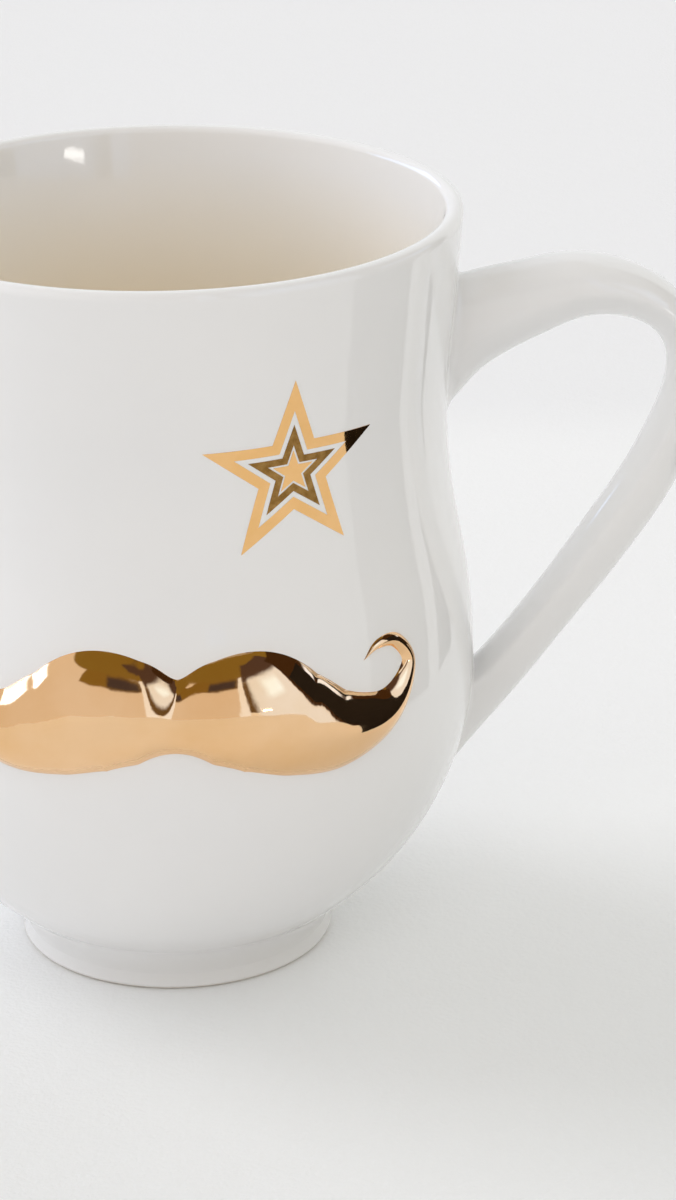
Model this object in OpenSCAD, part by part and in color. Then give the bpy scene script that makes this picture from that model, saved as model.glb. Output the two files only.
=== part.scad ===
// A footed mug with a gilded moustache in relief, a gilded star and an ear-shaped handle.
// Sizes are in millimetres and +Z is up. The origin is on the table, under the middle of the foot.
// The moustache faces -Y and the handle points along +X.

/* [Cup] */
// Height from the table to the top of the lip
cup_height = 108; // [88:0.5:128]
// Widest diameter, round the belly
belly_d = 85.4; // [72:0.2:100]
// Height of the widest part, as a share of the cup's height
belly_share = 0.39; // [0.36:0.005:0.42]
// How far the waist draws in from the belly, on each side
waist_in = 3.85; // [2.5:0.05:5]
// Height of the waist, as a share of the cup's height
waist_share = 0.74; // [0.71:0.005:0.77]
// Radius of the curve that leads from the waist into the flare
flare_r = 60; // [30:5:70]
// How far the lip stays inside the belly, on each side
rim_in = 1.7; // [0.5:0.1:2.5]
// Thickness of the lip
lip_t = 2.5; // [2:0.1:3.2]
// Thickness of the wall
wall_t = 3.6; // [2.8:0.1:4.6]
// Thickness of the floor
floor_t = 4.5; // [3.5:0.1:6]
// Radius between the floor and the wall inside
floor_fillet_r = 10; // [6:0.5:12]

/* [Foot] */
// Diameter of the foot at the table
foot_d = 44.6; // [37:0.2:52]
// How far the neck draws in above the foot, on each side
neck_in = 0.7; // [0.2:0.1:1.2]
// Height at which the bowl springs from the neck
foot_h = 5; // [4:0.1:6.5]
// Depth of the hollow under the cup, as a share of the foot's height
hollow_share = 0.6; // [0.4:0.05:0.65]
// Width of the ring that stands on the table
foot_w = 4; // [3.2:0.1:5]
// Radius of the fillet between the neck and the bowl
foot_fillet_r = 5; // [2:0.1:5.6]
// Bevel round the two edges of the foot
foot_bevel_w = 0.6; // [0.2:0.1:1]

/* [Handle] */
// How far the handle's middle line stands out from the wall
handle_w = 32.4; // [26:0.2:40]
// Top of the handle's middle line, as a share of the cup's height
handle_top_share = 0.88; // [0.84:0.005:0.9]
// Height of the handle's middle line at its lower root, as a share of the cup's height
handle_low_share = 0.28; // [0.25:0.005:0.32]
// Thickness of the handle's long limb, seen from the side
handle_t = 7.4; // [6:0.1:9]
// Width of the handle at its upper root
upper_root_w = 12.4; // [9:0.2:16]
// Width of the handle at its lower root
lower_root_w = 8.8; // [7:0.2:12]

/* [Moustache] */
// Distance along the wall between the outsides of the two curls
moustache_w = 71; // [58:0.5:84]
// Height of the parting in the middle, as a share of the cup's height
moustache_share = 0.468; // [0.43:0.002:0.5]
// Turn of the moustache on the wall, with the side that is away from the handle going up
moustache_tilt = 2; // [-4:0.5:4]
// How far the fullest part stands out from the wall
moustache_t = 4; // [2:0.1:6]
// Share of the section that is a straight-sided ridge, the rest being a round dome
ridge_share = 0.15; // [0:0.05:0.6]
// How deep under its edges the dome's round is centred, as a share of its half width
dome_cut = 0.45; // [0:0.05:1]

/* [Star] */
// Height of the star's centre, as a share of the cup's height
star_share = 0.757; // [0.71:0.002:0.79]
// Turn of the star round the cup, from the middle of the moustache
star_turn = 24.2; // [15:0.1:50]
// Radius of the notches over radius of the tips
star_notch = 0.4; // [0.3:0.01:0.5]
// Tip radius outside the outer band
outer_band_r = 12.8; // [10.5:0.1:15]
// Tip radius inside the outer band
outer_band_hole_r = 8.6; // [7.2:0.1:10.2]
// Tip radius outside the middle band
middle_band_r = 6.6; // [5.4:0.1:7.8]
// Tip radius inside the middle band
middle_band_hole_r = 3.8; // [3.2:0.1:4.6]
// Tip radius of the star in the centre
centre_r = 3; // [1.5:0.1:3.6]
// Thickness of the gold
gold_t = 0.2; // [0.1:0.05:0.4]

/* [Hidden] */
$fn = 180;

white = [0.93, 0.93, 0.92];
bright_gold = [0.90, 0.68, 0.40];
matt_gold = [0.56, 0.40, 0.14];

belly_r = belly_d / 2;
belly_z = belly_share * cup_height;
waist_r = belly_r - waist_in;
waist_z = waist_share * cup_height;
lip_r = lip_t / 2;
foot_r = foot_d / 2;
neck_r = foot_r - neck_in;
hollow_h = hollow_share * foot_h;
floor_z = hollow_h + floor_t;
handle_z = handle_low_share * cup_height;
handle_h = handle_top_share * cup_height - handle_z;
moustache_z = moustache_share * cup_height;
star_z = star_share * cup_height;

// The bowl is one arc, upright at the belly and passing through the top of the neck.
bowl_round = (pow(belly_z - foot_h, 2) + pow(belly_r - neck_r, 2)) / (2 * (belly_r - neck_r));
bowl_mid = [belly_r - bowl_round, belly_z];

// Above it two arcs of one radius make an S: out at the belly, in at the waist.
sway = [belly_r - waist_r, waist_z - belly_z];
sway_round = (pow(sway.x, 2) + pow(sway.y, 2)) / (4 * sway.x);
shoulder_mid = [belly_r - sway_round, belly_z];
waist_mid = [waist_r + sway_round, waist_z];

// Over the waist a wider curve leads into a straight flare, which runs up to the round lip.
flare_mid = [waist_r + flare_r, waist_z];
lip_mid = [belly_r - rim_in - lip_r, cup_height - lip_r];

// Lean of the flare, which touches the curve and then the lip.
flare_across = flare_mid - lip_mid;
flare_a = -atan2(flare_across.y, flare_across.x) - acos((flare_r + lip_r) / norm(flare_across));
// The wall ends a hair inside the lip's round, so that the two cross cleanly.
lip_bite = 0.02;
lip_inside = lip_mid - [lip_r - lip_bite, 0];

// Inside, one curve leads from the waist up to the lip.
mouth = lip_inside - [waist_r - wall_t, waist_z];
mouth_round = (pow(mouth.x, 2) + pow(mouth.y, 2)) / (2 * mouth.x);
mouth_mid = [waist_r - wall_t + mouth_round, waist_z];

// Where the arcs change over, on a surface that lies proud of the wall by some distance.
function turn_z(proud) = belly_z + (sway_round + proud) * sway.y / (2 * sway_round);
function flare_start(proud) = flare_mid + (flare_r - proud) * [-cos(flare_a), sin(flare_a)];
function flare_end(proud) = lip_mid + (lip_r - lip_bite + proud) * [cos(flare_a), -sin(flare_a)];
flare_z = flare_start(0).y;

// Radius of the outside of the wall at a height, and how fast it grows with height.
function wall_r(z) =
    z < belly_z ? bowl_mid.x + sqrt(pow(bowl_round, 2) - pow(z - belly_z, 2)) :
    z < turn_z(0) ? shoulder_mid.x + sqrt(pow(sway_round, 2) - pow(z - belly_z, 2)) :
    z < waist_z ? waist_mid.x - sqrt(pow(sway_round, 2) - pow(z - waist_z, 2)) :
    z < flare_z ? flare_mid.x - sqrt(pow(flare_r, 2) - pow(z - waist_z, 2)) :
    flare_start(0).x + (z - flare_z) * tan(flare_a);
slope_step = 0.01;
function wall_slope(z) = (wall_r(z + slope_step) - wall_r(z - slope_step)) / (2 * slope_step);

// A smooth curve through rows of numbers: a spline through four neighbours at a time.
function row_at(rows, i) =
    i < 0 ? 2 * rows[0] - rows[1] :
    i >= len(rows) ? 2 * rows[len(rows) - 1] - rows[len(rows) - 2] : rows[i];
function spline(a, b, c, d, s) =
    (2 * b + (c - a) * s + (2 * a - 5 * b + 4 * c - d) * s * s + (3 * b - a - 3 * c + d) * s * s * s) / 2;
function smooth(rows, steps) = concat(
    [for (i = [0 : len(rows) - 2], k = [0 : steps - 1])
        spline(row_at(rows, i - 1), rows[i], rows[i + 1], row_at(rows, i + 2), k / steps)],
    [rows[len(rows) - 1]]);
function heading(rows, i) =
    let (ahead = row_at(rows, i + 1) - row_at(rows, i - 1), flat = [ahead[0], ahead[1]])
    flat / norm(flat);

// Triangles that join ring after ring of points, each ring having the same count of points.
function tube_faces(rings, count) =
    [for (i = [0 : rings - 2], k = [0 : count - 1], half = [0, 1])
        let (a = i * count + k, b = i * count + (k + 1) % count)
        half == 0 ? [a, b, b + count] : [a, b + count, a + count]];

// The middle line of the handle, from inside the wall at its upper root to inside it at its lower one.
// Each row: stand-off from the wall, height above the lower root, half thickness, depth of the inner face.
handle_rows = [
    [-7.5, 52.9, 8.6, 6.4],
    [0.5, 59, 7, 5.6],
    [9.5, 62.6, 5.6, 4.9],
    [18.5, 64.8, 4.5, 4.3],
    [27, 62.8, 3.4, 3.8],
    [31.9, 57.4, 2.8, 3.1],
    [32.4, 49.3, 3.2, 2.4],
    [27.7, 37.7, 3.7, 1.9],
    [20.7, 27.1, 3.7, 1.5],
    [13.2, 17.1, 3.4, 1.2],
    [5.9, 8, 3.5, 1],
    [-2, -0.5, 4.1, 0.8],
    [-9.5, -8.7, 4.8, 0.7]];
// The row in the middle of the long limb, where the thickness is given.
limb_row = 7;
handle_steps = 4;
handle_outer_sides = 12;
handle_inner_sides = 8;

// One side of the moustache, from the parting to the tip of the curl.
// Each row: distance along the wall, height above the parting, half width.
whisker_rows = [
    [0, 0, 5.1],
    [5, 0.3, 7.1],
    [11, 0, 8.3],
    [17, -2.5, 7.2],
    [23, -4.2, 5.6],
    [29.4, -3.7, 3.7],
    [33.4, -1.2, 2.35],
    [35.5, 2.7, 1.35],
    [33.1, 5.9, 1],
    [29.6, 6.1, 0.65],
    [27, 4.5, 0]];
whisker_steps = 4;
whisker_sides = 12;
// A narrow stretch stands out less than a wide one, by this power of its width.
relief_taper = 0.6;

star_points = 5;

// Cup and foot: profiles turned about the upright axis.
module band(low, high) {
    translate([0, low]) square([belly_d, high - low]);
}

module disc(mid, radius) {
    translate(mid) circle(radius);
}

// Everything inside a surface that lies proud of the outside of the wall.
module outer_shape(proud) {
    top = flare_start(proud);
    intersection() {
        union() {
            disc(bowl_mid, bowl_round + proud);
            if (bowl_mid.x > 0) translate([0, belly_z - bowl_round]) square([bowl_mid.x, bowl_round]);
        }
        band(hollow_h, belly_z);
    }
    intersection() {
        disc(shoulder_mid, sway_round + proud);
        band(belly_z, turn_z(proud));
    }
    difference() {
        band(turn_z(proud), waist_z);
        disc(waist_mid, sway_round - proud);
    }
    difference() {
        band(waist_z, top.y);
        disc(flare_mid, flare_r - proud);
    }
    polygon([[0, top.y], top, flare_end(proud), lip_inside, [0, lip_inside.y]]);
}

// Each part of the space inside reaches a hair into the one above it, so that no skin is left between them.
seam = 0.02;

// The space that holds the drink.
module cavity_shape() {
    round = bowl_round - wall_t;
    corner_z = floor_z + floor_fillet_r;
    corner_run = sqrt(pow(round - floor_fillet_r, 2) - pow(corner_z - belly_z, 2));
    corner = [bowl_mid.x + corner_run, corner_z];
    join = bowl_mid + (corner - bowl_mid) * round / (round - floor_fillet_r);
    translate([0, floor_z]) square([corner.x, belly_z - floor_z + seam]);
    disc(corner, floor_fillet_r);
    intersection() {
        disc(bowl_mid, round);
        band(join.y, belly_z + seam);
    }
    intersection() {
        disc(shoulder_mid, sway_round - wall_t);
        band(belly_z, turn_z(-wall_t) + seam);
    }
    difference() {
        band(turn_z(-wall_t), waist_z + seam);
        disc(waist_mid, sway_round + wall_t);
    }
    difference() {
        band(waist_z, cup_height);
        disc(mouth_mid, mouth_round);
    }
}

module cup_body() {
    color(white) rotate_extrude() {
        difference() {
            outer_shape(0);
            cavity_shape();
        }
        disc(lip_mid, lip_r);
    }
}

// The fillet is cut a hair deep, so that its edge on the bowl is not infinitely thin.
fillet_bite = 0.05;

module foot_ring() {
    fillet_run = neck_r + foot_fillet_r - bowl_mid.x;
    fillet_drop = sqrt(pow(bowl_round + foot_fillet_r, 2) - pow(fillet_run, 2));
    fillet_mid = bowl_mid + [fillet_run, -fillet_drop];
    fillet_top = bowl_mid + (fillet_mid - bowl_mid) * bowl_round / (bowl_round + foot_fillet_r);
    inner_r = foot_r - foot_w;
    color(white) rotate_extrude() difference() {
        polygon([
            [inner_r + foot_bevel_w, 0],
            [foot_r - foot_bevel_w, 0],
            [foot_r, foot_bevel_w],
            [neck_r, fillet_mid.y],
            fillet_top,
            [inner_r, fillet_top.y],
            [inner_r, foot_bevel_w]]);
        disc(bowl_mid, bowl_round);
        disc(fillet_mid, foot_fillet_r + fillet_bite);
    }
}

// Handle: a loft of sections that are round outside and shallow inside, cut to the wall at its roots.
function handle_section(row, aim, w) =
    let (out = [-aim.y, aim.x], ridge = [row[0], row[1]] + out * (row[3] - row[2]),
         crown = 2 * row[2] - row[3], last = handle_outer_sides, inner = handle_inner_sides)
    concat(
        [for (k = [0 : last])
            let (at = ridge + out * crown * sin(180 * k / last))
            [at.x, -w * cos(180 * k / last), at.y]],
        [for (k = [1 : inner - 1])
            let (across = 1 - 2 * k / inner, at = ridge - out * row[3] * (1 - across * across))
            [at.x, w * across, at.y]]);

module handle_loft() {
    reach_ratio = handle_w / max([for (row = handle_rows) row[0]]);
    rise_ratio = handle_h / max([for (row = handle_rows) row[1]]);
    depth_ratio = handle_t / (2 * handle_rows[limb_row][2]);
    upper_z = handle_z + handle_rows[1][1] * rise_ratio;
    lean = (wall_r(upper_z) - wall_r(handle_z)) / (upper_z - handle_z);
    placed = [for (row = handle_rows)
        let (rise = row[1] * rise_ratio)
        [wall_r(handle_z) + lean * rise + row[0] * reach_ratio, handle_z + rise,
         row[2] * depth_ratio, row[3] * depth_ratio]];
    rows = smooth(placed, handle_steps);
    count = handle_outer_sides + handle_inner_sides;
    last = len(rows) - 1;
    points = [for (i = [0 : last])
        each handle_section(rows[i], heading(rows, i),
                            (upper_root_w + (lower_root_w - upper_root_w) * i / last) / 2)];
    caps = [for (k = [1 : count - 2]) each [[0, k + 1, k], [0, k, k + 1] + [1, 1, 1] * last * count]];
    polyhedron(points, concat(tube_faces(last + 1, count), caps));
}

module handle() {
    color(white) difference() {
        handle_loft();
        rotate_extrude() outer_shape(0);
    }
}

// Moustache: a swept dome whose back lies on the wall.
function on_wall(along, z, proud) =
    let (turn = along / wall_r(moustache_z) * 180 / PI, slope = wall_slope(z),
         out = [1, -slope] / norm([1, slope]), r = wall_r(z) + proud * out.x)
    [r * sin(turn), -r * cos(turn), z + proud * out.y];

function round_dome(across) = sqrt(1 + dome_cut * dome_cut - across * across) - dome_cut;
function dome(across) =
    (1 - ridge_share) * round_dome(across) / round_dome(0) + ridge_share * (1 - abs(across));

function whisker_section(row, aim, fullest) =
    let (side = [-aim.y, aim.x], w = row[2],
         height = moustache_t * pow(w / fullest, relief_taper), last = whisker_sides)
    concat(
        [for (k = [0 : last])
            let (across = -cos(180 * k / last), at = [row[0], row[1]] + side * w * across)
            on_wall(at.x, at.y, height * dome(across))],
        [for (k = [last - 1 : -1 : 1])
            let (across = -cos(180 * k / last), at = [row[0], row[1]] + side * w * across)
            on_wall(at.x, at.y, 0)]);

module moustache() {
    ratio = moustache_w / 2 / max([for (row = whisker_rows) row[0]]);
    tilt = [cos(moustache_tilt), sin(moustache_tilt)];
    mirrored = [for (i = [len(whisker_rows) - 1 : -1 : 1])
        [-whisker_rows[i][0], whisker_rows[i][1], whisker_rows[i][2]]];
    placed = [for (row = concat(mirrored, whisker_rows))
        [row[0] * tilt.x + row[1] * tilt.y, row[1] * tilt.x - row[0] * tilt.y, row[2]] * ratio
        + [0, moustache_z, 0]];
    rows = smooth(placed, whisker_steps);
    last = len(rows) - 1;
    fullest = max([for (row = rows) row[2]]);
    count = 2 * whisker_sides;
    first_tip = (last - 1) * count;
    points = concat(
        [for (i = [1 : last - 1]) each whisker_section(rows[i], heading(rows, i), fullest)],
        [on_wall(rows[0][0], rows[0][1], 0), on_wall(rows[last][0], rows[last][1], 0)]);
    tips = [for (k = [0 : count - 1])
        let (next = (k + 1) % count, end = (last - 2) * count)
        each [[first_tip, next, k], [first_tip + 1, end + k, end + next]]];
    color(bright_gold) polyhedron(points, concat(tube_faces(last - 1, count), tips));
}

// Star: a skin of gold on the wall, cut out by upright stars.
module star_prism(tip_r) {
    rotate([90, 0, star_turn]) translate([0, star_z, 0]) linear_extrude(belly_d)
        polygon([for (i = [0 : 2 * star_points - 1])
            let (turn = 90 + 180 * i / star_points, r = i % 2 == 0 ? tip_r : tip_r * star_notch)
            r * [cos(turn), sin(turn)]]);
}

module gold_skin() {
    rotate_extrude() intersection() {
        difference() {
            outer_shape(gold_t);
            outer_shape(0);
        }
        band(star_z - outer_band_r, star_z + outer_band_r);
    }
}

module star_band(tip_r, hole_r) {
    difference() {
        intersection() {
            gold_skin();
            star_prism(tip_r);
        }
        star_prism(hole_r);
    }
}

module star_outer_band() {
    color(bright_gold) star_band(outer_band_r, outer_band_hole_r);
}

module star_middle_band() {
    color(matt_gold) star_band(middle_band_r, middle_band_hole_r);
}

module star_centre() {
    color(bright_gold) intersection() {
        gold_skin();
        star_prism(centre_r);
    }
}

cup_body();
foot_ring();
handle();
moustache();
star_outer_band();
star_middle_band();
star_centre();
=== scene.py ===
# %% [markdown]
# # A white mug with a gilded moustache
# The imported CAD model comes in first, as a fixed frame. Every piece made below stands where one
# of its solids stands and takes its place in the picture, so nothing has to be fitted by eye.

# %% Load the imported mug
import math

import bmesh
import bpy
import numpy as np
from mathutils import Matrix, Vector


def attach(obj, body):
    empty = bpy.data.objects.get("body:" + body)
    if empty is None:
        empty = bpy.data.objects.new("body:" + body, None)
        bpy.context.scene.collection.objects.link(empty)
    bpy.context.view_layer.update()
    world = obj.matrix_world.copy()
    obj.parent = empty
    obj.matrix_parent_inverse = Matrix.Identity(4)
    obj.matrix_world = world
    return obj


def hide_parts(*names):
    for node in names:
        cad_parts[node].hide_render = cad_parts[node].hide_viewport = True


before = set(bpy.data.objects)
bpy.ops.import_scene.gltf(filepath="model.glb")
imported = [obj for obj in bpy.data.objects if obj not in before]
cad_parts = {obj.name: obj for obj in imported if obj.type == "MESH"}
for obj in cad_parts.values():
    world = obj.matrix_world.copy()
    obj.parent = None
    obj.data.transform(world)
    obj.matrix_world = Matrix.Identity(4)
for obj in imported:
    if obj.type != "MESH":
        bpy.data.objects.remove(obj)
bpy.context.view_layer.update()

print("solids:", ", ".join(sorted(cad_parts)))

# %% [markdown]
# ## The outline of the wall
# A potter turns a mug about one upright axis, so its whole shape is an outline of radii and
# heights. This one is built from arcs that run into each other without a corner: the bowl, an S
# through shoulder and waist, a flare, and the round of the lip. Arcs are chosen over a free curve
# because a glossy glaze shows every wobble of the outline, and an arc has none.

# %% Sizes of the cup, in millimetres
mm = 0.001
cup_height = 108.0
belly_r = 42.7
belly_z = 0.39 * cup_height
waist_in = 3.85
waist_r = belly_r - waist_in
waist_z = 0.74 * cup_height
flare_r = 60.0
rim_in = 1.7
lip_r = 1.25
wall_t = 3.6
foot_r = 22.3
neck_r = 21.6
foot_h = 5.0
hollow_h = 3.0
floor_z = 7.5
floor_fillet_r = 10.0
print("cup height", cup_height, "mm, belly", 2 * belly_r, "mm")

# %% The circles that the outline is made of
bowl_round = ((belly_z - foot_h) ** 2 + (belly_r - neck_r) ** 2) / (2 * (belly_r - neck_r))
bowl_mid = Vector((belly_r - bowl_round, belly_z))
sway = Vector((belly_r - waist_r, waist_z - belly_z))
sway_round = sway.length_squared / (4 * sway.x)
shoulder_mid = Vector((belly_r - sway_round, belly_z))
waist_mid = Vector((waist_r + sway_round, waist_z))
flare_mid = Vector((waist_r + flare_r, waist_z))
lip_mid = Vector((belly_r - rim_in - lip_r, cup_height - lip_r))

# Inside, one circle leads from the waist up to the lip and touches its round.
mouth = lip_mid - Vector((waist_r - wall_t, waist_z))
mouth_round = (mouth.length_squared - lip_r ** 2) / (2 * (mouth.x - lip_r))
mouth_mid = Vector((waist_r - wall_t + mouth_round, waist_z))

# Angles, in degrees, at which one arc hands over to the next.
flare_across = flare_mid - lip_mid
flare_lean = math.acos((flare_r + lip_r) / flare_across.length)
flare_a = math.degrees(-math.atan2(flare_across.y, flare_across.x) - flare_lean)
sway_a = math.degrees(math.asin(sway.y / (2 * sway_round)))
mouth_a = math.degrees(math.atan2(mouth.y, mouth_mid.x - lip_mid.x))
hollow_a = math.degrees(math.asin((belly_z - hollow_h) / bowl_round))
print("radii: bowl %.1f, sway %.1f, mouth %.1f mm" % (bowl_round, sway_round, mouth_round))

# %% Points on an arc, and the radius of the wall at a height
point_gap = 0.9
point_turn = 4.0
seam_finer = 3      # times as many points where the foot runs into the bowl


def arc(mid, radius, start, end, finer=1):
    """Points (radius, height) along a circle, from one angle to another, in degrees."""
    turn = abs(end - start)
    count = math.ceil(finer * max(turn / point_turn, math.radians(turn) * radius / point_gap))
    angles = np.radians(np.linspace(start, end, count + 1))
    return [mid + radius * Vector((math.cos(a), math.sin(a))) for a in angles]


turn_z = belly_z + sway.y / 2
flare_turn = math.radians(flare_a)
flare_start = flare_mid + flare_r * Vector((-math.cos(flare_turn), math.sin(flare_turn)))


def wall_r(z):
    """Radius of the outside of the wall at a height."""
    if z < belly_z:
        return bowl_mid.x + math.sqrt(bowl_round ** 2 - (z - belly_z) ** 2)
    if z < turn_z:
        return shoulder_mid.x + math.sqrt(sway_round ** 2 - (z - belly_z) ** 2)
    if z < waist_z:
        return waist_mid.x - math.sqrt(sway_round ** 2 - (z - waist_z) ** 2)
    if z < flare_start.y:
        return flare_mid.x - math.sqrt(flare_r ** 2 - (z - waist_z) ** 2)
    return flare_start.x + (z - flare_start.y) * math.tan(flare_turn)


slope_step = 0.01


def wall_normal(z):
    """Direction (outwards, upwards) that the wall faces at a height."""
    slope = (wall_r(z + slope_step) - wall_r(z - slope_step)) / (2 * slope_step)
    return Vector((1, -slope)).normalized()


print("wall radius at the waist %.2f mm" % wall_r(waist_z))

# %% [markdown]
# ## The cup
# The cup is cast in one piece: bowl, belly, waist and rolled lip outside, and the smooth hollow
# for the drink inside. In Blender the outline is spun round the axis, which is how a lathe would
# make it. A Screw modifier would do the same, but spinning in bmesh leaves a plain mesh whose
# points can be marked as lying inside or outside, and the glaze needs that mark.

# %% Turn an outline into a mesh
turn_steps = 192
axis = Vector((0, 0, 1))
weld = 0.0005 * mm


def turned(outline, closed):
    """A bmesh of an outline of (radius, height) points in millimetres, spun about the axis."""
    bm = bmesh.new()
    points = [bm.verts.new((p.x * mm, 0, p.y * mm)) for p in outline]
    pairs = list(zip(points, points[1:]))
    if closed:
        pairs.append((points[-1], points[0]))
    edges = [bm.edges.new(pair) for pair in pairs if (pair[0].co - pair[1].co).length > weld]
    bmesh.ops.spin(bm, geom=points + edges, cent=(0, 0, 0), axis=axis, angle=2 * math.pi,
                   steps=turn_steps, use_merge=True)
    bmesh.ops.remove_doubles(bm, verts=bm.verts, dist=weld)
    return bm


# %% Turn a bmesh into a piece of the mug
sharp_a = math.radians(40)


def make_piece(bm, name, node):
    """An object that rides on the mug's one body and stands for a CAD node."""
    bmesh.ops.recalc_face_normals(bm, faces=bm.faces)
    mesh = bpy.data.meshes.new(name)
    bm.to_mesh(mesh)
    bm.free()
    mesh.shade_smooth()
    mesh.set_sharp_from_angle(angle=sharp_a)
    piece = bpy.data.objects.new(name, mesh)
    bpy.context.scene.collection.objects.link(piece)
    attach(piece, "root")
    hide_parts(node)
    print(name, len(mesh.polygons), "faces")
    return piece


# %% The outline of the cup, from under the floor round the lip to the floor inside
inner_round = bowl_round - wall_t
corner_z = floor_z + floor_fillet_r
corner_run = math.sqrt((inner_round - floor_fillet_r) ** 2 - (corner_z - belly_z) ** 2)
corner_mid = Vector((bowl_mid.x + corner_run, corner_z))
corner_a = math.degrees(math.atan2(belly_z - corner_z, corner_run))

cup_outline = [Vector((0, hollow_h))]
cup_outline += arc(bowl_mid, bowl_round, -hollow_a, 0, seam_finer)
cup_outline += arc(shoulder_mid, sway_round, 0, sway_a)
cup_outline += arc(waist_mid, sway_round, 180 + sway_a, 180)
cup_outline += arc(flare_mid, flare_r, 180, 180 - flare_a)
cup_outline += arc(lip_mid, lip_r, -flare_a, 180 - mouth_a)
cup_outline += arc(mouth_mid, mouth_round, 180 - mouth_a, 180)
cup_outline += arc(waist_mid, sway_round + wall_t, 180, 180 + sway_a)
cup_outline += arc(shoulder_mid, sway_round - wall_t, sway_a, 0)
cup_outline += arc(bowl_mid, inner_round, 0, -corner_a)
cup_outline += arc(corner_mid, floor_fillet_r, -corner_a, -90)
cup_outline.append(Vector((0, floor_z)))
print("outline of the cup:", len(cup_outline), "points")

# %% The cup, with its points marked from 0 outside to 1 where the cream and painted warm shade inside are strongest
# Painted warm shade inside: the cream grows with depth below the lip, is full at 36 mm and falls off towards
# the floor.
depths_of_cream_shade = [4.0, 36.0, 60.0, 100.0]
shares_of_cream_shade = [0.0, 1.0, 0.6, 0.2]
cup = make_piece(turned(cup_outline, False), "cup_body_glazed", "cup_body")


def shade_and_cream(point):
    """How far the glaze leans to cream and painted warm shade: 0 outside and near the lip, up to 1 inside,
    less towards the floor.
    """
    z = point.z / mm
    through = wall_r(z) - math.hypot(point.x, point.y) / mm
    if z < floor_z - slope_step or through < lip_r:
        return 0.0
    return float(np.interp(cup_height - z, depths_of_cream_shade, shares_of_cream_shade))


inside = cup.data.attributes.new("inside", "FLOAT", "POINT")
inside.data.foreach_set("value", [shade_and_cream(v.co) for v in cup.data.vertices])
print("points with cream and painted shade:", sum(1 for d in inside.data if d.value > 0))

# %% [markdown]
# ## The foot ring
# The mug stands on a low ring under the bowl. Glaze rounds its edges, gathers in the corner
# between ring and bowl, and is wiped off the face that stands on the kiln shelf. It is turned
# from an outline too. The fillets are part of the outline, because a bevel modifier can't know
# where the ring meets the bowl, which is another piece.

# %% The foot ring
foot_w = 4.0
foot_fillet_r = 8.0
fillet_start = 170.0
fillet_bite = 0.004
foot_edge_r = 0.7
gather_r = 1.5
ring_sink = 0.3

ring_in = foot_r - foot_w
fillet_run = neck_r + foot_fillet_r - bowl_mid.x
fillet_drop = math.sqrt((bowl_round - fillet_bite + foot_fillet_r) ** 2 - fillet_run ** 2)
fillet_mid = bowl_mid + Vector((fillet_run, -fillet_drop))
fillet_a = math.degrees(math.atan2(fillet_drop, -fillet_run))
under_bowl = bowl_mid + (bowl_round - 2 * ring_sink) * (Vector((ring_in, hollow_h)) - bowl_mid).normalized()

ring_outline = arc(Vector((ring_in - gather_r, hollow_h - gather_r)), gather_r, 90, 0)
ring_outline += arc(Vector((ring_in + foot_edge_r, foot_edge_r)), foot_edge_r, 180, 270)
ring_outline += arc(Vector((foot_r - foot_edge_r, foot_edge_r)), foot_edge_r, -90, 0)
ring_outline += arc(fillet_mid, foot_fillet_r, fillet_start, fillet_a, seam_finer)
ring_outline.append(ring_outline[-1] + ring_sink * (bowl_mid - fillet_mid).normalized())
ring_outline.append(under_bowl)
ring_outline.append(Vector((ring_in - gather_r, hollow_h + ring_sink)))
foot_ring = make_piece(turned(ring_outline, True), "foot_ring_glazed", "foot_ring")

# %% [markdown]
# ## The handle
# The handle is cast by itself and stuck to the wall with wet clay at two roots. It is a loft:
# sections that are round outside and shallow inside, strung along a middle line in the shape of
# an ear. The crease between the two faces is softened by glaze, and a small fillet of clay leads
# each root into the wall. A bevelled curve can't change its section on the way, so the points of
# all sections are worked out and joined ring by ring.

# %% A smooth curve through rows of numbers
def smooth(rows, steps):
    """Rows on a spline that passes through the given rows, with some steps between each two."""
    ends = [2 * rows[0] - rows[1], 2 * rows[-1] - rows[-2]]
    known = np.vstack([ends[0], rows, ends[1]])
    curve = []
    for a, b, c, d in zip(known, known[1:], known[2:], known[3:]):
        for s in np.arange(steps) / steps:
            bend = (2 * a - 5 * b + 4 * c - d) * s ** 2 + (3 * b - a - 3 * c + d) * s ** 3
            curve.append((2 * b + (c - a) * s + bend) / 2)
    curve.append(rows[-1])
    return np.array(curve)


def headings(rows):
    """The direction of the curve at each row, in the plane of its first two numbers."""
    ahead = np.gradient(rows[:, :2], axis=0)
    return ahead / np.linalg.norm(ahead, axis=1)[:, None]


print("4 rows become", len(smooth(np.eye(4), 3)), "rows in 3 steps each")

# %% The middle line of the handle: stand-off, rise, half thickness, depth of the inner face
handle_rows = np.array([
    [-7.5, 52.9, 8.6, 6.4],
    [0.5, 59, 7, 5.6],
    [9.5, 62.6, 5.6, 4.9],
    [18.5, 64.8, 4.5, 4.3],
    [27, 62.8, 3.4, 3.8],
    [31.9, 57.4, 2.8, 3.1],
    [32.4, 49.3, 3.2, 2.4],
    [27.7, 37.7, 3.7, 1.9],
    [20.7, 27.1, 3.7, 1.5],
    [13.2, 17.1, 3.4, 1.2],
    [5.9, 8, 3.5, 1],
    [-2, -0.5, 4.1, 0.8],
    [-9.5, -8.7, 4.8, 0.7]])
handle_z = 0.28 * cup_height
upper_root_w = 12.4
lower_root_w = 8.8
handle_steps = 12

upper_z = handle_z + handle_rows[1][1]
handle_lean = (wall_r(upper_z) - wall_r(handle_z)) / (upper_z - handle_z)
handle_line = handle_rows.copy()
handle_line[:, 0] += wall_r(handle_z) + handle_lean * handle_rows[:, 1]
handle_line[:, 1] += handle_z
handle_line = smooth(handle_line, handle_steps)
print("handle reaches out to %.1f mm from the axis" % handle_line[:, 0].max())

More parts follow.
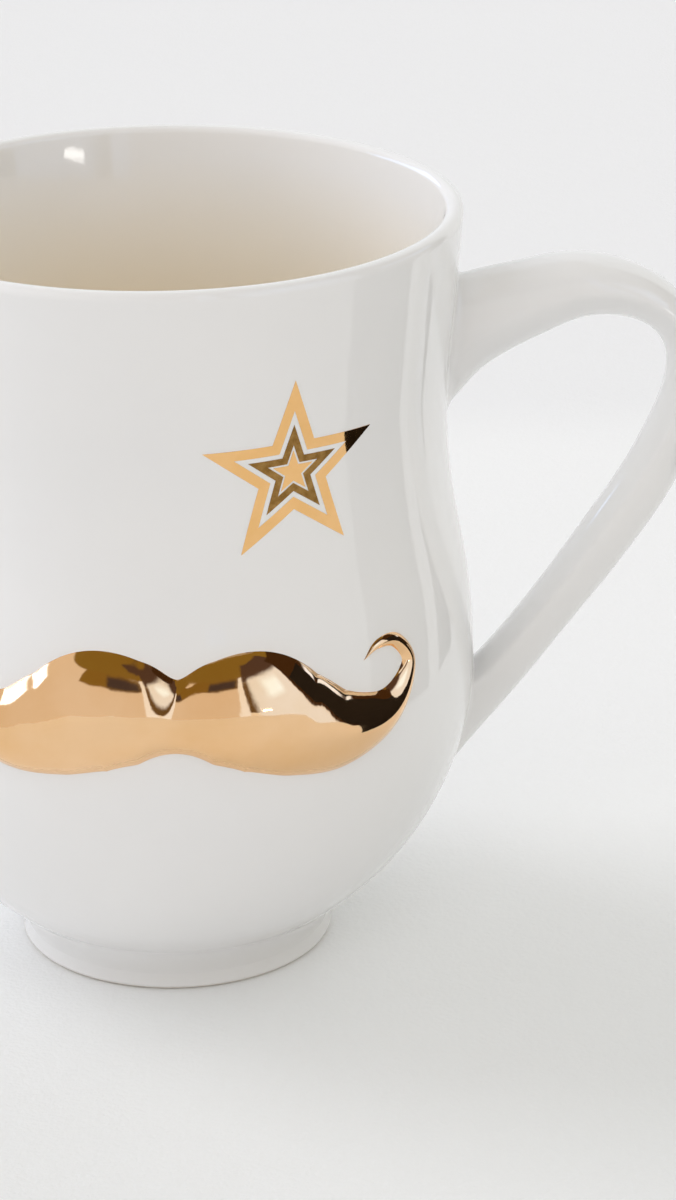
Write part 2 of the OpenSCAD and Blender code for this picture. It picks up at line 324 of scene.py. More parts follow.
# %% One section of the handle: a round outer face, a soft crease, a shallow inner face
outer_points = 24
crease_points = 6
inner_points = 14
crease_a = 7.0
crease_share = 0.09


def bent(start, corner, end, count):
    """Points that leave start, head for the corner and come in to the end, without a kink."""
    s = np.linspace(0, 1, count)[:, None]
    return (1 - s) ** 2 * start + 2 * s * (1 - s) * corner + s ** 2 * end


def section(half_w, crown, depth):
    """Points (across, outwards) round a section, starting on the outer face."""
    around = np.radians(np.linspace(crease_a, 180 - crease_a, outer_points))
    outer = np.column_stack([-half_w * np.cos(around), crown * np.sin(around)])
    share = np.linspace(1 - crease_share, crease_share - 1, inner_points)
    inner = np.column_stack([half_w * share, -depth * (1 - share ** 2)])
    sides = [np.array([half_w, 0]), np.array([-half_w, 0])]
    first = bent(outer[-1], sides[0], inner[0], crease_points)
    second = bent(inner[-1], sides[1], outer[0], crease_points)
    return np.vstack([outer, first[1:-1], inner, second[1:-1]])


print("points round a section:", len(section(1, 1, 1)))

# %% All sections of the handle, set along its line
rings = []
stations = zip(handle_line, headings(handle_line), np.linspace(upper_root_w, lower_root_w, len(handle_line)))
for (x, z, half, depth), aim, width in stations:
    outwards = np.array([-aim[1], aim[0]])
    ridge = np.array([x, z]) + outwards * (depth - half)
    shape = section(width / 2, 2 * half - depth, depth)
    spots = ridge + shape[:, 1:] * outwards
    rings.append(np.column_stack([spots[:, 0], shape[:, 0], spots[:, 1]]))
rails = np.array(rings).transpose(1, 0, 2)
print("handle:", rails.shape[0], "rails of", rails.shape[1], "points")

# %% Where a rail of the handle comes out of the wall
root_fillet = 1.5
root_steps = 6
rail_steps = 120
root_sink = 0.06
cap_depth = 1.2


def stand_off(point):
    """Distance of a point from the wall, along the radius."""
    return math.hypot(point[0], point[1]) - wall_r(point[2])


def from_wall(rail):
    """The part of a rail that is outside the wall, starting where it comes out."""
    heights = np.array([stand_off(p) for p in rail])
    first = int(np.argmax(heights > 0))
    share = heights[first - 1] / (heights[first - 1] - heights[first])
    start = rail[first - 1] + share * (rail[first] - rail[first - 1])
    return np.vstack([start, rail[first:]])


def onto_wall(point, sink):
    """A point moved along its radius until it lies a little under the surface of the wall."""
    radius = wall_r(point[2]) - sink
    return np.array([*(point[:2] * radius / np.linalg.norm(point[:2])), point[2]])


print("outside the wall: %d of the %d points of a rail" % (len(from_wall(rails[0])) - 1, len(rails[0])))

# %% Trim the rails at both roots and lead them into the wall
def root_end(start, ahead, middle):
    """Points from the wall, clear of the root, along a fillet to a point ahead on the rail."""
    normal = wall_normal(start[2])
    radial = start[:2] / np.linalg.norm(start[:2])
    facing = np.array([radial[0] * normal.x, radial[1] * normal.x, normal.y])
    away = start - middle
    away -= facing * away.dot(facing)
    foot = onto_wall(start + root_fillet * away / np.linalg.norm(away), root_sink)
    return bent(foot, start, ahead, root_steps)


def along(rail, places):
    """Points at some distances along a rail."""
    travelled = np.concatenate([[0], np.cumsum(np.linalg.norm(np.diff(rail, axis=0), axis=1))])
    return np.column_stack([np.interp(places, travelled, rail[:, i]) for i in range(3)]), travelled[-1]


trimmed = [from_wall(from_wall(rail)[::-1])[::-1] for rail in rails]
upper_middle = np.mean([rail[0] for rail in trimmed], axis=0)
lower_middle = np.mean([rail[-1] for rail in trimmed], axis=0)
handle_rails = []
for rail in trimmed:
    length = along(rail, [0])[1]
    middle_part = along(rail, np.linspace(root_fillet, length - root_fillet, rail_steps))[0]
    upper_end = root_end(rail[0], middle_part[0], upper_middle)
    lower_end = root_end(rail[-1], middle_part[-1], lower_middle)
    handle_rails.append(np.vstack([upper_end[:-1], middle_part, lower_end[-2::-1]]))
handle_rings = np.array(handle_rails).transpose(1, 0, 2)
print("handle: roots at heights %.1f and %.1f mm" % (upper_middle[2], lower_middle[2]))


# %% Join rings of points into a closed skin
def skinned(ring_list, tips):
    """A bmesh over rings of points in millimetres, closed at each end by a single point."""
    bm = bmesh.new()
    loops = [[bm.verts.new(Vector(p) * mm) for p in ring] for ring in ring_list]
    for low, high in zip(loops, loops[1:]):
        for k in range(len(low)):
            bm.faces.new([low[k - 1], low[k], high[k], high[k - 1]])
    for loop, tip in ((loops[0], tips[0]), (loops[-1], tips[1])):
        point = bm.verts.new(Vector(tip) * mm)
        for k in range(len(loop)):
            bm.faces.new([loop[k], loop[k - 1], point])
    return bm


handle_tips = [onto_wall(upper_middle, cap_depth), onto_wall(lower_middle, cap_depth)]
handle = make_piece(skinned(handle_rings, handle_tips), "handle_glazed", "handle")

# %% [markdown]
# ## The moustache
# The moustache is pressed in a small mould and stuck on the belly while both are damp. It is a
# dome that is swept from one curled tip to the other: wide and full beside the parting, thin in
# the curls. Every point is laid on the wall by its distance along it and its height, and is then
# raised along the wall's normal. Bending a flat relief with a modifier would not follow a wall
# that curves both ways.

# %% One side of the moustache: distance along the wall, rise above the parting, half width
whisker_rows = np.array([
    [0, 0, 5.1],
    [5, 0.3, 7.1],
    [11, 0, 8.3],
    [17, -2.5, 7.2],
    [23, -4.2, 5.6],
    [29.4, -3.7, 3.7],
    [33.4, -1.2, 2.35],
    [35.5, 2.7, 1.35],
    [33.1, 5.9, 1],
    [29.6, 6.1, 0.65],
    [27, 4.5, 0]])
moustache_z = 0.468 * cup_height
moustache_tilt = math.radians(2)
whisker_steps = 14

other_side = whisker_rows[:0:-1] * [-1, 1, 1]
whiskers = np.vstack([other_side, whisker_rows])
tilt = np.array([[math.cos(moustache_tilt), -math.sin(moustache_tilt)],
                 [math.sin(moustache_tilt), math.cos(moustache_tilt)]])
whiskers[:, :2] = whiskers[:, :2] @ tilt + [0, moustache_z]
whisker_line = smooth(whiskers, whisker_steps)
print("moustache: %.1f mm along the wall" % np.ptp(whisker_line[:, 0]))

# %% Lay a point on the wall, and shape the relief across its width
moustache_t = 4.0
ridge_share = 0.15
ridge_soft = 0.12
dome_cut = 0.9
relief_taper = 0.85
relief_sink = 0.3
relief_sides = 40
back_sides = 8


def on_wall(distance, z, proud):
    """A point at a distance along the wall and a height, raised along the wall's normal."""
    turn = distance / wall_r(moustache_z)
    normal = wall_normal(z)
    radius = wall_r(z) + proud * normal.x
    return [radius * math.sin(turn), -radius * math.cos(turn), z + proud * normal.y]


def dome(across):
    """Height of the relief at a place across it, from -1 to 1: a dome with a soft ridge."""
    edge_slant = math.hypot(1, ridge_soft)
    ridge = (edge_slant - math.hypot(across, ridge_soft)) / (edge_slant - ridge_soft)
    full_round = math.hypot(1, dome_cut) - dome_cut
    round_part = (math.sqrt(1 + dome_cut ** 2 - across ** 2) - dome_cut) / full_round
    return (1 - ridge_share) * round_part + ridge_share * ridge


print("half way to its edge the relief has %.2f of its height" % dome(0.5))

# %% The sections of the moustache, from tip to tip
front = -np.cos(np.linspace(0, math.pi, relief_sides + 1))
back = np.linspace(1, -1, back_sides + 1)[1:-1]
fullest = whisker_line[:, 2].max()
relief_rings = []
for (distance, z, half), aim in zip(whisker_line[1:-1], headings(whisker_line)[1:-1]):
    rise = moustache_t * (half / fullest) ** relief_taper
    places = [(share, rise * dome(share)) for share in front] + [(share, -relief_sink) for share in back]
    ring = [on_wall(distance - aim[1] * half * share, z + aim[0] * half * share, proud)
            for share, proud in places]
    relief_rings.append(np.array(ring))
relief_tips = [on_wall(*whisker_line[0][:2], 0), on_wall(*whisker_line[-1][:2], 0)]
moustache = make_piece(skinned(relief_rings, relief_tips), "moustache_gilded", "moustache")

# %% [markdown]
# ## The star
# The star is printed in gold on the glaze: a bright outer band, a darker matt band inside it, and
# a small bright star in the centre, with bare glaze between them. Each print is drawn flat, cut
# into small faces and then wrapped on the wall, so that it mirrors the room as the wall does. Its
# thickness is added in bmesh and not by a modifier, so that the rim can be kept crisp.

# %% A flat star or band, cut into small faces
star_points = 5
star_notch = 0.4
star_cell = 0.4


def star_outline(tip):
    """Corners of a star with one tip straight up."""
    turns = np.radians(90 + 180 / star_points * np.arange(2 * star_points))
    radii = np.where(np.arange(2 * star_points) % 2, tip * star_notch, tip)
    return [Vector((r * math.cos(a), 0, r * math.sin(a))) for r, a in zip(radii, turns)]


def flat_star(tip, hole):
    """A bmesh of a star, or of a band between two stars, in a grid of small faces."""
    bm = bmesh.new()
    outer = [bm.verts.new(p) for p in star_outline(tip)]
    inner = [bm.verts.new(p) for p in star_outline(hole)] if hole else [bm.verts.new((0, 0, 0))]
    for k in range(len(outer)):
        rim = [outer[k - 1], outer[k]]
        bm.faces.new(rim + ([inner[k], inner[k - 1]] if hole else inner))
    for direction in (Vector((1, 0, 0)), Vector((0, 0, 1))):
        for place in np.arange(star_cell - tip, tip, star_cell):
            parts = bm.verts[:] + bm.edges[:] + bm.faces[:]
            bmesh.ops.bisect_plane(bm, geom=parts, plane_co=direction * place, plane_no=direction)
    return bm


print("corners of a star:", len(star_outline(1)))

# %% Wrap the prints on the wall
star_z = 0.757 * cup_height
star_turn = math.radians(24.2)
outer_tip = 12.8
outer_hole = 8.6
middle_tip = 6.6
middle_hole = 3.8
centre_tip = 3.0
gold_proud = 0.05
gold_t = 0.15


def print_star(tip, hole, name, node):
    """A star or band of gold, wrapped on the wall at the star's place."""
    bm = flat_star(tip, hole)
    for v in bm.verts:
        z = star_z + v.co.z
        normal = wall_normal(z)
        radius = wall_r(z)
        turn = math.asin(v.co.x / radius) + star_turn
        radius += gold_proud * normal.x
        spot = Vector((radius * math.sin(turn), -radius * math.cos(turn), z + gold_proud * normal.y))
        v.co = spot * mm
    bm.normal_update()
    bmesh.ops.solidify(bm, geom=bm.faces[:], thickness=gold_t * mm)
    return make_piece(bm, name, node)


star_outer = print_star(outer_tip, outer_hole, "star_outer_band_gold", "star_outer_band")
star_middle = print_star(middle_tip, middle_hole, "star_middle_band_gold", "star_middle_band")
star_centre = print_star(centre_tip, None, "star_centre_gold", "star_centre")

# %% [markdown]
# ## Node groups that several finishes share
# Glaze melts in the kiln and sets with a faint swell in it, and gold that is fired on top takes
# over that swell. So the swell is one node group, placed in each finish with its own depth. A
# second group drifts between two close colours over the surface. Both put out values that change
# from place to place, and the shaders stay in the materials.

# %% Helpers for nodes
mix_first = 6
mix_second = 7
mix_result = 2


def fill(node, sockets):
    """Sets some of a node's sockets by name."""
    for name, value in sockets.items():
        node.inputs[name.replace("_", " ")].default_value = value


def add(tree, kind, at, **sockets):
    """A new node at a place in the tree, with some of its sockets set by name."""
    node = tree.nodes.new(kind)
    node.location = at
    fill(node, sockets)
    return node


def mixed(tree, factor, first, second, at):
    """A colour between two others. Each of the two is a colour, or a socket to link."""
    node = add(tree, "ShaderNodeMix", at)
    node.data_type = "RGBA"
    tree.links.new(factor, node.inputs["Factor"])
    for place, source in ((mix_first, first), (mix_second, second)):
        if isinstance(source, bpy.types.NodeSocket):
            tree.links.new(source, node.inputs[place])
        else:
            node.inputs[place].default_value = source
    return node.outputs[mix_result]


# %% Helpers for node groups
def new_group(name, inputs, outputs):
    """A node group with named sockets, and its input and output nodes."""
    tree = bpy.data.node_groups.new(name, "ShaderNodeTree")
    for socket, kind in inputs:
        tree.interface.new_socket(socket, in_out="INPUT", socket_type=kind)
    for socket, kind in outputs:
        tree.interface.new_socket(socket, in_out="OUTPUT", socket_type=kind)
    return tree, add(tree, "NodeGroupInput", (-700, 0)), add(tree, "NodeGroupOutput", (500, 0))


def place_group(tree, group, at, **sockets):
    """A group placed in a material's tree, with some of its sockets set by name."""
    node = add(tree, "ShaderNodeGroup", at)
    node.node_tree = group
    fill(node, sockets)
    return node


# %% The swell of a fired surface
swell, swell_in, swell_out = new_group(
    "kiln swell",
    [("Long Scale", "NodeSocketFloat"), ("Fine Scale", "NodeSocketFloat"), ("Fine Share", "NodeSocketFloat")],
    [("Height", "NodeSocketFloat")])
coords = add(swell, "ShaderNodeTexCoord", (-700, 300))
long_waves = add(swell, "ShaderNodeTexNoise", (-400, 200), Detail=1.0, Roughness=0.4)
fine_waves = add(swell, "ShaderNodeTexNoise", (-400, -100), Detail=2.0, Roughness=0.5)
both_waves = add(swell, "ShaderNodeMix", (100, 0))
swell.links.new(coords.outputs["Object"], long_waves.inputs["Vector"])
swell.links.new(coords.outputs["Object"], fine_waves.inputs["Vector"])
swell.links.new(swell_in.outputs["Long Scale"], long_waves.inputs["Scale"])
swell.links.new(swell_in.outputs["Fine Scale"], fine_waves.inputs["Scale"])
swell.links.new(swell_in.outputs["Fine Share"], both_waves.inputs["Factor"])
swell.links.new(long_waves.outputs["Fac"], both_waves.inputs["A"])
swell.links.new(fine_waves.outputs["Fac"], both_waves.inputs["B"])
swell.links.new(both_waves.outputs["Result"], swell_out.inputs["Height"])
print("group:", swell.name)

# %% A drift between two colours
drift, drift_in, drift_out = new_group(
    "colour drift",
    [("First", "NodeSocketColor"), ("Second", "NodeSocketColor"), ("Scale", "NodeSocketFloat")],
    [("Colour", "NodeSocketColor"), ("Mask", "NodeSocketFloat")])
coords = add(drift, "ShaderNodeTexCoord", (-700, 300))
clouds = add(drift, "ShaderNodeTexNoise", (-400, 100), Detail=4.0, Roughness=0.6)
spread = add(drift, "ShaderNodeMapRange", (-150, 100), From_Min=0.35, From_Max=0.65)
drift.links.new(coords.outputs["Object"], clouds.inputs["Vector"])
drift.links.new(drift_in.outputs["Scale"], clouds.inputs["Scale"])
drift.links.new(clouds.outputs["Fac"], spread.inputs["Value"])
drifted = mixed(drift, spread.outputs["Result"], drift_in.outputs["First"], drift_in.outputs["Second"],
                (150, 0))
drift.links.new(drifted, drift_out.inputs["Colour"])
drift.links.new(spread.outputs["Result"], drift_out.inputs["Mask"])
print("group:", drift.name)


# %% A material with one Principled shader
def new_finish(name):
    """A material's tree with its Principled shader."""
    finish = bpy.data.materials.new(name)
    finish.use_nodes = True
    return finish, finish.node_tree, finish.node_tree.nodes["Principled BSDF"]


def relate(tree, source, target, low, high, at):
    """Links a value from 0 to 1 to a socket, spread between a low and a high value."""
    span = add(tree, "ShaderNodeMapRange", at, To_Min=low, To_Max=high)
    tree.links.new(source, span.inputs["Value"])
    tree.links.new(span.outputs["Result"], target)


def bump(tree, shader, height, distance, at):
    """Lets a height, with a real depth in metres, bend the shader's normal."""
    relief = add(tree, "ShaderNodeBump", at, Distance=distance)
    tree.links.new(height, relief.inputs["Height"])
    tree.links.new(relief.outputs["Normal"], shader.inputs["Normal"])


# %% [markdown]
# ## White glaze
# The body is white stoneware under a clear gloss glaze. Outside it reads as a clean white. Inside it leans,
# by the mark that the cup's points carry, to a warm cream: partly a creamier glaze and partly painted
# warm shade of the hollow, strongest some way below the lip and fading towards the floor. The gloss is
# high but not perfect: the roughness drifts a little, and the swell bends the reflections just enough
# that straight edges in them look fired rather than cast in plastic. On the foot the glaze is painted
# a little grey towards the bottom, as painted shade, down to the bare clay of its face.

# %% White glaze
glaze_white = (0.87, 0.87, 0.865, 1)
glaze_pale = (0.85, 0.852, 0.852, 1)
glaze_cream_shaded = (0.97, 0.83, 0.6, 1)
gloss = (0.02, 0.05)
glaze_depth = 0.00008


def white_glaze(name):
    """Glaze over white clay, still without a link to its colour and roughness."""
    finish, tree, shader = new_finish(name)
    tones = place_group(tree, drift, (-700, 200), First=glaze_white, Second=glaze_pale, Scale=25.0)
    waves = place_group(tree, swell, (-700, -300), Long_Scale=60.0, Fine_Scale=420.0, Fine_Share=0.15)
    bump(tree, shader, waves.outputs["Height"], glaze_depth, (-300, -300))
    return finish, tree, shader, tones


handle_glaze, tree, shader, tones = white_glaze("white glaze")
tree.links.new(tones.outputs["Colour"], shader.inputs["Base Color"])
relate(tree, tones.outputs["Mask"], shader.inputs["Roughness"], *gloss, (-300, 0))
handle.data.materials.append(handle_glaze)

cup_glaze, tree, shader, tones = white_glaze("white glaze, cream and painted shade inside")
mark = add(tree, "ShaderNodeAttribute", (-700, 500))
mark.attribute_name = "inside"
# Painted warm shade inside: the colour leans to cream by the mark on the cup's points.
leaning_to_cream_shade = mixed(tree, mark.outputs["Fac"], tones.outputs["Colour"], glaze_cream_shaded, (-300, 300))
tree.links.new(leaning_to_cream_shade, shader.inputs["Base Color"])
relate(tree, tones.outputs["Mask"], shader.inputs["Roughness"], *gloss, (-300, 0))
cup.data.materials.append(cup_glaze)
print("finishes:", handle_glaze.name, "and", cup_glaze.name)

# %% White glaze wiped off the face of the foot, with painted shade low on the ring
bare_clay = (0.74, 0.69, 0.62, 1)
bare_roughness = 0.75
wipe_low = 0.00015
wipe_high = 0.0005
# Painted shade: the ring turns greyer towards its bottom, fully under 3 mm and fading out by 7 mm.
foot_painted_shade = (0.79, 0.79, 0.78, 1)
shade_low = 0.003
shade_high = 0.007

foot_glaze, tree, shader, tones = white_glaze("white glaze, bare foot, painted shade")
coords = add(tree, "ShaderNodeTexCoord", (-1100, 600))
split = add(tree, "ShaderNodeSeparateXYZ", (-900, 600))
wiped = add(tree, "ShaderNodeMapRange", (-700, 600), From_Min=wipe_low, From_Max=wipe_high)
shade_rise = add(tree, "ShaderNodeMapRange", (-700, 900), From_Min=shade_low, From_Max=shade_high)
shade_rise.interpolation_type = "SMOOTHSTEP"
tree.links.new(coords.outputs["Object"], split.inputs["Vector"])
tree.links.new(split.outputs["Z"], wiped.inputs["Value"])
tree.links.new(split.outputs["Z"], shade_rise.inputs["Value"])
glaze_with_shade = mixed(tree, shade_rise.outputs["Result"], foot_painted_shade, tones.outputs["Colour"], (-450, 700))
clay = mixed(tree, wiped.outputs["Result"], bare_clay, glaze_with_shade, (-300, 400))
tree.links.new(clay, shader.inputs["Base Color"])
relate(tree, wiped.outputs["Result"], shader.inputs["Roughness"], bare_roughness, gloss[0], (-300, 100))
foot_ring.data.materials.append(foot_glaze)
print("finish:", foot_glaze.name)

# %% [markdown]
# ## Gold
# Bright gold is painted on the fired glaze and fired again, which leaves a mirror of real metal a
# few thousandths of a millimetre thick. It has no colour of its own: it tints what it mirrors. So
# it is a metal with a peach-gold base colour and low roughness, and the swell under it makes its
# mirror wander. The middle band of the star is a matt print: the same metal, rougher and darker,
# with a mottle.

# %% Bright gold and matt gold
gold_pale = (0.98, 0.65, 0.37, 1)
gold_deep = (0.93, 0.58, 0.29, 1)
print_pale = (0.98, 0.6, 0.27, 1)
print_deep = (0.93, 0.55, 0.22, 1)
bronze_light = (0.42, 0.24, 0.075, 1)
bronze_dark = (0.27, 0.14, 0.035, 1)


def gold(name, colours, cloud_scale, roughness, waves, depth):
    """A metal print: two close colours, a span of roughness, and a swell with its depth."""
    finish, tree, shader = new_finish(name)
    shader.inputs["Metallic"].default_value = 1.0
    tones = place_group(tree, drift, (-700, 200), First=colours[0], Second=colours[1], Scale=cloud_scale)
    ripple = place_group(tree, swell, (-700, -300), Long_Scale=waves[0], Fine_Scale=waves[1],
                         Fine_Share=waves[2])
    tree.links.new(tones.outputs["Colour"], shader.inputs["Base Color"])
    relate(tree, tones.outputs["Mask"], shader.inputs["Roughness"], *roughness, (-300, 0))
    bump(tree, shader, ripple.outputs["Height"], depth, (-300, -300))
    return finish


relief_gold = gold("gilded relief", (gold_pale, gold_deep), cloud_scale=60.0,
                   roughness=(0.05, 0.08), waves=(130.0, 500.0, 0.06), depth=0.0003)
print_gold = gold("bright gold print", (print_pale, print_deep), cloud_scale=150.0,
                  roughness=(0.03, 0.06), waves=(150.0, 1200.0, 0.1), depth=0.000012)
matt_gold = gold("matt gold print", (bronze_light, bronze_dark), cloud_scale=900.0,
                 roughness=(0.34, 0.46), waves=(400.0, 6000.0, 0.5), depth=0.00004)
moustache.data.materials.append(relief_gold)
star_outer.data.materials.append(print_gold)
star_centre.data.materials.append(print_gold)
star_middle.data.materials.append(matt_gold)
print("finishes:", relief_gold.name, print_gold.name, matt_gold.name, sep=", ")

# %% [markdown]
# ## The table
# The mug stands on an off-white table with the fine grain of trowelled plaster. Its colour is painted darker
# towards the viewer, as painted shade where the light falls off, and turns a little greyer where the real one
# meets a wall. One large sheet does for
# both. It is see-through from below, with a hole hidden under the foot that lets light in there, so
# that the mug can also be looked at from underneath. It isn't part of the mug.

# %% The table
table_r = 4.0
table_sides = 96
table_hole = 0.0216
table_drop = 0.00005
# Painted shade: the table is darker towards the viewer, where the light falls off, and paler further back.
table_near_shaded = (0.83, 0.84, 0.835, 1)
table_near_soft_shaded = (0.845, 0.855, 0.853, 1)
table_far = (0.9, 0.905, 0.908, 1)
near_y = -0.09
far_y = 0.11
wall_grey = (0.85, 0.853, 0.862, 1)
wall_from = 0.19
wall_to = 0.23


def stage_piece(bm, name):
    """An object that stands in the picture but isn't part of the mug."""
    mesh = bpy.data.meshes.new(name)
    bm.to_mesh(mesh)
    bm.free()
    sheet = bpy.data.objects.new(name, mesh)
    bpy.context.scene.collection.objects.link(sheet)
    return sheet


bm = bmesh.new()
table_turns = np.radians(np.linspace(0, 360, table_sides, endpoint=False))
circles = [[bm.verts.new((r * math.cos(a), r * math.sin(a), -table_drop)) for a in table_turns]
           for r in (table_hole, table_r)]
for k in range(table_sides):
    bm.faces.new([circles[0][k - 1], circles[1][k - 1], circles[1][k], circles[0][k]])
table = stage_piece(bm, "table")
print("table:", 2 * table_r, "m wide")

# %% Plaster
plaster_roughness = (0.7, 0.85)
plaster_depth = 0.00018

plaster, tree, shader = new_finish("plaster")
tones = place_group(tree, drift, (-900, 200), First=table_near_shaded, Second=table_near_soft_shaded, Scale=12.0)
grain = place_group(tree, swell, (-700, -300), Long_Scale=350.0, Fine_Scale=1400.0, Fine_Share=0.6)
coords = add(tree, "ShaderNodeTexCoord", (-1100, 600))
split = add(tree, "ShaderNodeSeparateXYZ", (-900, 600))
tree.links.new(coords.outputs["Object"], split.inputs["Vector"])
plaster_colour = tones.outputs["Colour"]
# The first blend is painted shade towards the viewer; the second turns greyer where the real table meets a
# wall.
for start, end, colour in ((near_y, far_y, table_far), (wall_from, wall_to, wall_grey)):
    further = add(tree, "ShaderNodeMapRange", (-700, 600), From_Min=start, From_Max=end)
    further.interpolation_type = "SMOOTHSTEP"
    tree.links.new(split.outputs["Y"], further.inputs["Value"])
    plaster_colour = mixed(tree, further.outputs["Result"], plaster_colour, colour, (-300, 300))
tree.links.new(plaster_colour, shader.inputs["Base Color"])
relate(tree, tones.outputs["Mask"], shader.inputs["Roughness"], *plaster_roughness, (-300, 0))
bump(tree, shader, grain.outputs["Height"], plaster_depth, (-300, -300))

from_below = add(tree, "ShaderNodeNewGeometry", (0, 500))
clear = add(tree, "ShaderNodeBsdfTransparent", (0, -500))
either = add(tree, "ShaderNodeMixShader", (350, 200))
tree.links.new(from_below.outputs["Backfacing"], either.inputs["Fac"])
tree.links.new(shader.outputs["BSDF"], either.inputs[1])
tree.links.new(clear.outputs["BSDF"], either.inputs[2])
tree.links.new(either.outputs["Shader"], tree.nodes["Material Output"].inputs["Surface"])
table.data.materials.append(plaster)
print("finish:", plaster.name)

# %% [markdown]
# ## Dark cards
# Glossy ware needs something dark to mirror, or it looks like chalk. Photographers stand black
# cards beside it, just out of the picture. Two stand on the right, with a gap between them: they
# draw the grey band down the flank, with a pale streak where the gap is, and turn a tip of the
# star black. They show in mirrors only, so they take no light away from the mug.

# %% The dark cards
card_x = 0.15
card_top = 0.14
card_spans = [(-0.06, 0.019), (0.039, 0.075)]
felt_black = (0.012, 0.01, 0.009, 1)
felt_worn = (0.02, 0.017, 0.015, 1)

cards = []
for number, (front_y, back_y) in enumerate(card_spans):
    corners = [(front_y, 0), (back_y, 0), (back_y, card_top), (front_y, card_top)]
    bm = bmesh.new()
    bm.faces.new([bm.verts.new((card_x, y, z)) for y, z in corners])
    card = stage_piece(bm, "dark_card_%d" % number)
    card.visible_camera = False
    card.visible_diffuse = False
    card.visible_shadow = False
    cards.append(card)
felt, tree, shader = new_finish("black felt")
tones = place_group(tree, drift, (-700, 200), First=felt_black, Second=felt_worn, Scale=300.0)
tree.links.new(tones.outputs["Colour"], shader.inputs["Base Color"])
shader.inputs["Roughness"].default_value = 1.0
shader.inputs["Specular IOR Level"].default_value = 0.0
for card in cards:
    card.data.materials.append(felt)
print("cards:", len(cards))

# %% [markdown]
# ## The room
# Gold is only as good as the room that it mirrors, and an even white dome makes it look like paper.
# So a room is painted on the world by direction, in two layers. Glossy rays meet the mirrored room:
# a door post, a window, a dark cabinet and a warm ceiling. All other rays meet the light: plain pale
# patches, with a window on the left that casts the soft shadow. In two layers the mirror can be full
# of contrast while the light on the glaze stays plain. Lamps would light the mug as well, but their
# mirror images are bare rectangles. The camera sees a plain pale grey in place of both.

# %% Directions: azimuth from the viewer towards the handle, and elevation
world = bpy.data.worlds.new("room")
bpy.context.scene.world = world
world.use_nodes = True
sky = world.node_tree
coords = add(sky, "ShaderNodeTexCoord", (-1800, 0))
split = add(sky, "ShaderNodeSeparateXYZ", (-1600, 0))
towards = add(sky, "ShaderNodeMath", (-1400, -200))
towards.operation = "MULTIPLY"
towards.inputs[1].default_value = -1
azimuth = add(sky, "ShaderNodeMath", (-1200, 100))
azimuth.operation = "ARCTAN2"
elevation = add(sky, "ShaderNodeMath", (-1200, -200))
elevation.operation = "ARCSINE"
sky.links.new(coords.outputs["Generated"], split.inputs["Vector"])
sky.links.new(split.outputs["Y"], towards.inputs[0])
sky.links.new(split.outputs["X"], azimuth.inputs[0])
sky.links.new(towards.outputs["Value"], azimuth.inputs[1])
sky.links.new(split.outputs["Z"], elevation.inputs[0])
print("nodes for the direction:", len(sky.nodes))

# %% Paint patches of the sky, one over the other
full_turn = 360


def edge(value, place, softness, rising, at):
    """A soft step at an angle in degrees, going up or down."""
    ends = (0.0, 1.0) if rising else (1.0, 0.0)
    node = add(sky, "ShaderNodeMapRange", at, From_Min=math.radians(place - softness / 2),
               From_Max=math.radians(place + softness / 2), To_Min=ends[0], To_Max=ends[1])
    node.interpolation_type = "SMOOTHSTEP"
    sky.links.new(value, node.inputs["Value"])
    return node.outputs["Result"]


def paint(ground, patches, top):
    """The colour of the sky: a ground colour with patches over it."""
    colour = ground
    for row, (left, right, low, high, softness, tint) in enumerate(patches):
        x, y = -900, top - 300 * row
        edges = [edge(elevation.outputs[0], low, softness, True, (x, y)),
                 edge(elevation.outputs[0], high, softness, False, (x, y))]
        if right - left < full_turn:
            edges.append(edge(azimuth.outputs[0], left, softness, True, (x, y)))
            edges.append(edge(azimuth.outputs[0], right, softness, False, (x, y)))
        mask = edges[0]
        for other in edges[1:]:
            both = add(sky, "ShaderNodeMath", (x + 250, y))
            both.operation = "MULTIPLY"
            sky.links.new(mask, both.inputs[0])
            sky.links.new(other, both.inputs[1])
            mask = both.outputs[0]
        colour = mixed(sky, mask, colour, (*tint, 1), (x + 500, y))
    return colour


# %% The room that the gold and the glaze mirror
# Each row: azimuth from and to, elevation from and to, softness, all in degrees, and the colour.
room_back = (0.88, 0.89, 0.905, 1)
room_patches = [
    (-180, 180, 62, 91, 6, (0.23, 0.16, 0.032)),       # ceiling
    (-125, 118, 54, 91, 4, (0.23, 0.16, 0.032)),       # its lower part over the viewer
    (-130, 20, -6, 55, 3, (0.75, 0.71, 0.68)),         # walls on the left and behind the viewer
    (-52, 20, 40, 57, 3, (0.23, 0.15, 0.03)),          # ceiling that comes down to the door
    (-18, 10, 41, 54, 7, (0.06, 0.045, 0.05)),         # its darkest corner
    (12, 19.5, -12, 56, 1.5, (0.95, 1.1, 1.4)),        # white door post
    (19.5, 95, 46, 72, 4, (0.085, 0.055, 0.045)),      # beam over the window
    (19.5, 34, 5, 46, 2, (0.14, 0.09, 0.035)),         # dark curtain
    (27, 78, -7, 50, 7, (0.88, 1.05, 1.38)),           # window on the right
    (42, 63, 24, 44, 10, (1.05, 1.45, 2.1)),           # its brightest part
    (78, 132, -4, 60, 1.5, (0.05, 0.024, 0.008)),      # dark cabinet
    (90, 124, 16, 24, 2, (1.0, 1.28, 1.85)),           # light on its front
    (31, 39, 7.6, 9.2, 0.8, (12.0, 12.0, 11.7)),       # small lamp
    (-155, -100, 11, 27, 3, (2.2, 2.9, 4.4))]          # window on the left
backdrop = (0.86, 0.862, 0.87, 1)

room = paint(room_back, room_patches, top=400)
print("room:", len(room_patches), "patches")

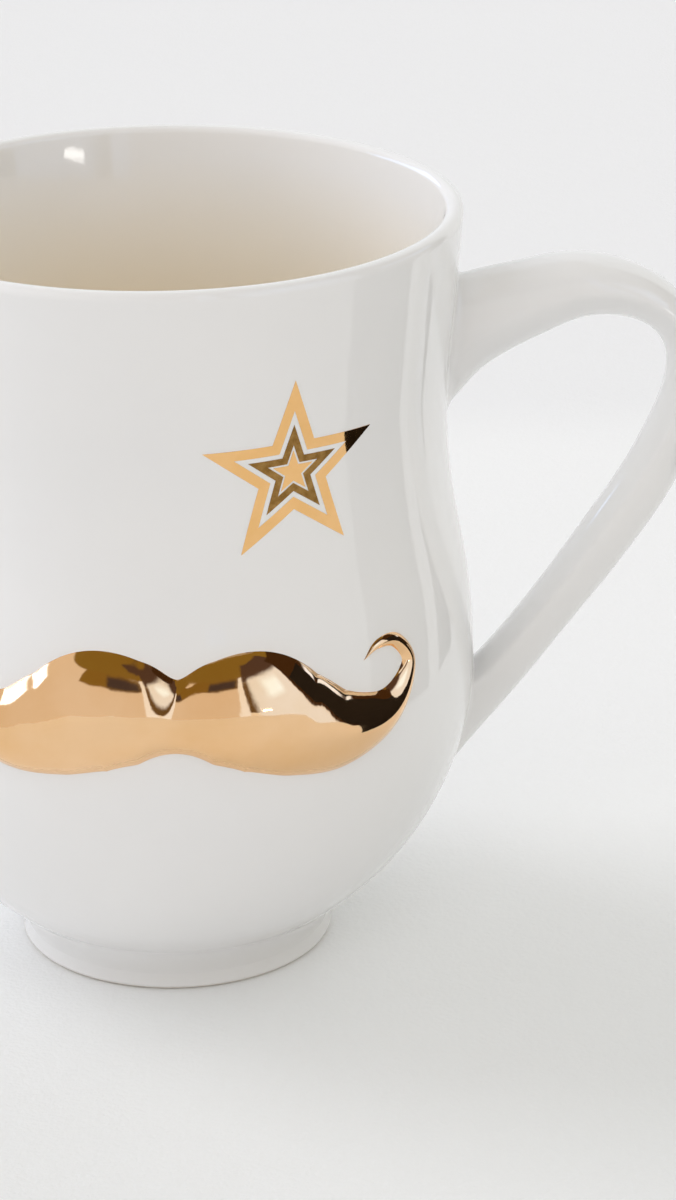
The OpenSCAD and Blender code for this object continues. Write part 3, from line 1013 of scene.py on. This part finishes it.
# %% The light, and what the camera sees behind the table
light_ground = (0.45, 0.45, 0.42, 1)
light_patches = [
    (-180, 180, 60, 91, 4, (0.6, 0.6, 0.6)),           # ceiling
    (-180, -150, -2, 60, 4, (0.6, 0.6, 0.6)),          # behind, on the left
    (-150, -60, -2, 60, 4, (0.85, 0.85, 0.88)),        # left wall
    (-132, -98, 10, 60, 4, (3.1, 3.1, 3.25)),          # window on the left
    (-60, -25, -2, 30, 4, (1.8, 1.8, 1.85)),           # pale wall beside the viewer
    (-25, 55, -2, 30, 4, (0.35, 0.26, 0.2)),           # the viewer, in the way of the light
    (-25, 55, 30, 60, 4, (1.5, 1.47, 1.42)),           # pale wall over the viewer
    (55, 125, -2, 60, 4, (0.86, 0.86, 0.81)),          # right wall
    (125, 180, -2, 30, 4, (1.9, 1.9, 1.9))]            # behind, on the right

light = paint(light_ground, light_patches, top=-4200)
ray = add(sky, "ShaderNodeLightPath", (0, 900))
shone = mixed(sky, ray.outputs["Is Glossy Ray"], light, room, (0, 300))
seen = mixed(sky, ray.outputs["Is Camera Ray"], shone, backdrop, (250, 300))
sky.links.new(seen, sky.nodes["Background"].inputs["Color"])
bpy.context.scene.view_settings.view_transform = "Standard"
print("light:", len(light_patches), "patches")

# %% [markdown]
# ## The camera
# The camera stands at arm's length in front of the mug and looks down on it, with a long lens that
# crops the cup on one side and the handle on the other. Its place and angles were found from the
# ellipses of the lip and the foot and from the outline of the wall.

# %% The camera
eye = Vector((-0.00535, -0.51124, 0.25733))
yaw = math.radians(3.2458)
pitch = math.radians(22.1168)
roll = math.radians(-0.4150)

lens = bpy.data.cameras.new("camera")
lens.lens = 117.476
camera = bpy.data.objects.new("camera", lens)
camera.matrix_world = (Matrix.Translation(eye) @ Matrix.Rotation(-yaw, 4, "Z")
                       @ Matrix.Rotation(math.pi / 2 - pitch, 4, "X") @ Matrix.Rotation(roll, 4, "Z"))
bpy.context.scene.collection.objects.link(camera)
bpy.context.scene.camera = camera
print("camera at", [round(v, 3) for v in eye])
